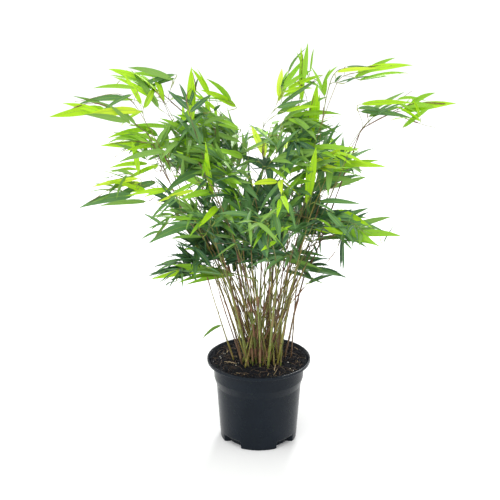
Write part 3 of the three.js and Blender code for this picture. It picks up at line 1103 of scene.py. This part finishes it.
def grow_rim():
    rng = random.Random(SEED + 3)
    for name in MASSES:
        if not name.endswith(OUTER):
            continue
        spine = SPINES[name]
        axis = (spine["tip"] - spine["root"]).normalized()
        upright = max(0, axis.z)
        for end in rim_ends(spine, axis, rng):
            aside = end - spine["middle"]
            aside -= axis * aside.dot(axis)
            sway = aside.normalized() * rng.uniform(0, RIM_SPREAD)
            outward = Vector((end.x - CLUMP.x, end.y - CLUMP.y, 0)).normalized()
            lift = rng.gauss(-0.05, 0.3) if upright < RIM_UPRIGHT else rng.gauss(-0.35, 0.35)
            way = (axis + sway + outward * (0.3 + upright) + UP * lift).normalized()
            length = rng.uniform(*RIM_LEAF)
            at_the_tip = end is spine["tip"]
            if at_the_tip:
                way, length = axis, RIM_LEAF[1]
            points = grow_twig(end - way * length, way, 0.8 * MM)
            leaf_sheath(points, rng)
            # Tone by height as painted light and shade: brighter high up and darker low down, with a
            # high tip leaf painted bright.
            tone = rng.choice(RIM_TONES if end.z > RIM_LOW else RIM_TONES_LOW)
            if name.endswith("_upper"):
                tone = tone_for(end, rng)
            if at_the_tip and end.z > RIM_LOW:
                tone = "bright"
            rim_leaf(points[-1], end, tone, rng, TIP_WIDTH if at_the_tip else RIM_WIDTH)
            run = lengths(points)
            for i in range(rng.choice((0, 1, 1, 2))):
                base, _ = at_length(points, run, run[-1] - min(0.008 * (i + 1), run[-1] * 0.6))
                turn = rng.uniform(0.25, 0.7) * (1 if i % 2 else -1)
                side = way.copy()
                side.rotate(Quaternion(UP, turn))
                sag = (side - UP * rng.uniform(0, 0.3)).normalized()
                tip = base + sag * length * rng.uniform(0.7, 0.95)
                if depth_in_crown(tip) > -6 * MM:
                    rim_leaf(base, tip, tone, rng)


# The crown thins out towards the bare canes: below this height most sprays are left out.
THIN_BELOW = 0.365
THIN_SHARE = 0.6


def grow_foliage():
    rng = random.Random(SEED + 4)
    wanted = []
    for name in MASSES:
        spine = SPINES[name]
        low, high = spine["points"].min(0), spine["points"].max(0)
        litres = spine["volume"] * 1000
        share = AIRY.get(name.removeprefix("foliage_"), 1.0)
        count = max(3, round(litres * SPRAYS_PER_LITRE * share))
        found = []
        for _ in range(count * 40):
            if len(found) == count:
                break
            p = Vector([rng.uniform(a, b) for a, b in zip(low, high)])
            low_down = p.z < THIN_BELOW and rng.random() < THIN_SHARE
            if low_down or depth_in_crown(p) < 5 * MM:
                continue
            if all((p - q).length > 0.014 for q in found):
                found.append(p)
        wanted += found
    spots = np.array([tuple(p) for p in net_points])
    wanted.sort(key=lambda p: float(np.linalg.norm(spots - np.array(tuple(p)), axis=1).min()))
    for p in wanted:
        outward = Vector((p.x - CLUMP.x, p.y - CLUMP.y, 0))
        if outward.length <= 0.02:
            outward = Vector((rng.gauss(0, 1), rng.gauss(0, 1), 0))
        outward.normalize()
        outward.rotate(Quaternion(UP, rng.gauss(0, 0.7)))
        climb = rng.uniform(-0.15, 0.5) + 0.6 * max(0, (p.z - 0.55) / 0.15)
        heading = (outward + UP * climb).normalized()
        target = p - heading * 0.03
        points = grow_twig(target, heading)
        leaf_sheath(points, rng)
        grow_spray(points, rng.choice((3, 4, 4, 5)), rng)


# ---- The plant ----

build_pot()
build_litter(build_soil())
grow_canes()
grow_rim()
grow_foliage()

CANE_STOPS = {
    "olive": [(0.25, (90, 88, 40)), (0.5, (136, 128, 56)), (0.75, (180, 168, 88))],
    "green": [(0.25, (78, 92, 42)), (0.5, (118, 130, 56)), (0.75, (164, 168, 84))],
    "brown": [(0.25, (78, 56, 46)), (0.5, (114, 88, 64)), (0.75, (148, 132, 84))],
}
for kind in KINDS:
    piece(
        "canes_" + kind, cane_heaps[kind],
        streaked_material("cane_" + kind, CANE_STOPS[kind], 0.42),
        CANES + BOUGHS if kind == "olive" else (),
    )
ring_stops = [(0.3, (58, 44, 32)), (0.7, (104, 84, 54))]
piece("cane_rings", ring_heap, streaked_material("cane_ring", ring_stops, 0.6))
husk_stops = [(0.25, (84, 52, 44)), (0.5, (132, 96, 70)), (0.75, (176, 150, 108))]
piece("cane_husks", sheath_heap, streaked_material("cane_husk", husk_stops, 0.7, 90.0))
twig_stops = [(0.25, (84, 90, 40)), (0.5, (122, 134, 58)), (0.75, (150, 150, 80))]
piece("twigs", twig_heap, streaked_material("twig_bark", twig_stops, 0.5))
tip_stops = [(0.3, (136, 160, 62)), (0.7, (190, 196, 100))]
piece("twig_tips", tip_heap, streaked_material("twig_tip", tip_stops, 0.5))
piece("dry_tips", dry_heap, streaked_material("dry_tip", husk_stops, 0.7, 90.0))
for tone, colour in LEAF_TONES.items():
    piece(
        "leaves_" + tone, leaf_heaps[tone], leaf_material("leaf_" + tone, colour),
        MASSES if tone == "mid" else (), sharp=12,
    )
piece("leaf_ribs", rib_heap, leaf_material("leaf_rib", (150, 186, 80)))


# ---- Stage, light and camera ----


def stage_floor():
    mesh = bpy.data.meshes.new("floor")
    corners = [(x * FLOOR_HALF, y * FLOOR_HALF, 0) for x, y in ((-1, -1), (1, -1), (1, 1), (-1, 1))]
    mesh.from_pydata(corners, [], [(0, 1, 2, 3)])
    floor = bpy.data.objects.new("floor", mesh)
    bpy.context.scene.collection.objects.link(floor)
    mesh.materials.append(new_material("floor_paint", 0.9, (252, 252, 252), 0.0)[0])


def area_light(name, place, aim, size, power):
    data = bpy.data.lights.new(name, "AREA")
    data.shape = "SQUARE"
    data.size = size
    data.energy = power
    light = bpy.data.objects.new(name, data)
    light.location = place
    light.rotation_mode = "QUATERNION"
    light.rotation_quaternion = (Vector(aim) - Vector(place)).to_track_quat("-Z", "Y")
    bpy.context.scene.collection.objects.link(light)


stage_floor()
world = bpy.data.worlds.new("studio")
world.use_nodes = True
backdrop = world.node_tree.nodes["Background"]
backdrop.inputs["Color"].default_value = (1, 1, 1, 1)
# The backdrop is seen as white, and lights the plant a little less than that.
seen = world.node_tree.nodes.new("ShaderNodeLightPath")
level = world.node_tree.nodes.new("ShaderNodeMapRange")
level.inputs["To Min"].default_value = 0.72
level.inputs["To Max"].default_value = 1.0
world.node_tree.links.new(seen.outputs["Is Camera Ray"], level.inputs["Value"])
world.node_tree.links.new(level.outputs["Result"], backdrop.inputs["Strength"])
bpy.context.scene.world = world
sun = bpy.data.objects.new("key", bpy.data.lights.new("key", "SUN"))
sun.data.energy = 1.5
sun.data.angle = math.radians(70)
sun.rotation_euler = (math.radians(24), math.radians(-10), 0)
bpy.context.scene.collection.objects.link(sun)
area_light("side_left", (-2.2, -0.7, 0.9), (0, 0, 0.2), 0.9, 7)
area_light("side_right", (2.2, -0.2, 0.9), (0, 0, 0.2), 0.8, 3)
area_light("rim", (0.3, 1.6, 1.5), (0, 0, 0.15), 0.5, 24)

camera = bpy.data.objects.new("camera", bpy.data.cameras.new("camera"))
camera.location = CAMERA_PLACE
camera.rotation_euler = (CAMERA_TILT, 0, 0)
camera.data.sensor_width = 36
camera.data.lens = CAMERA_LENS
bpy.context.scene.collection.objects.link(camera)
bpy.context.scene.camera = camera
bpy.context.scene.view_settings.view_transform = "Standard"

bpy.context.view_layer.update()
